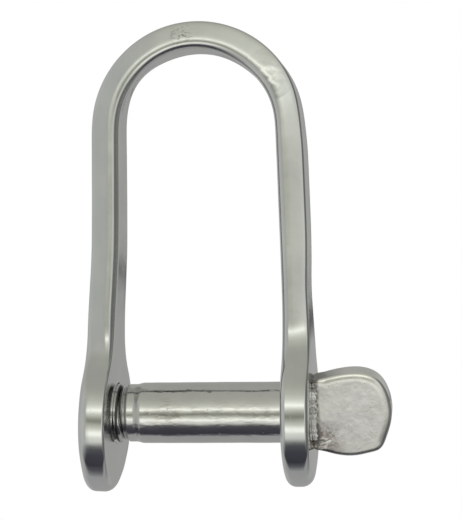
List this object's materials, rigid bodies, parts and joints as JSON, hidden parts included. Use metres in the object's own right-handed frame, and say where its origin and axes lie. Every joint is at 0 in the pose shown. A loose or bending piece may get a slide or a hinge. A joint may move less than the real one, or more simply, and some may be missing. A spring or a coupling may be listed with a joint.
{
  "type": "dee shackle",
  "caption": "Long dee shackle bent from polished flat stainless strip, closed by a removable screw pin with a flat thumb tab.",
  "frame": {"origin": "on the pin's axis, midway between the inner faces of the two ears", "axes": "+X along the pin from the threaded ear to the thumb tab, +Y across the strip's edges to the back, +Z from the pin to the crown"},
  "size_m": [0.0305, 0.014, 0.0462],
  "materials": {
    "bow_steel": "tumble polished",
    "pin_steel": "polished",
    "tab_steel": "satin, fine pitted"
  },
  "bodies": {
    "shackle": {"bow": "bow_steel"},
    "pin": {"screw_pin": "pin_steel"},
    "tab": {"thumb_tab": "tab_steel"}
  },
  "joints": [
    {"name": "pin_withdraw", "type": "slide", "parent": "shackle", "child": "pin", "axis": [1, 0, 0], "range_m": [0, 0.024]},
    {"name": "pin_turn", "type": "hinge", "parent": "pin", "child": "tab", "pos_m": [0, 0, 0], "axis": [1, 0, 0], "range_deg": [0, 990]}
  ]
}
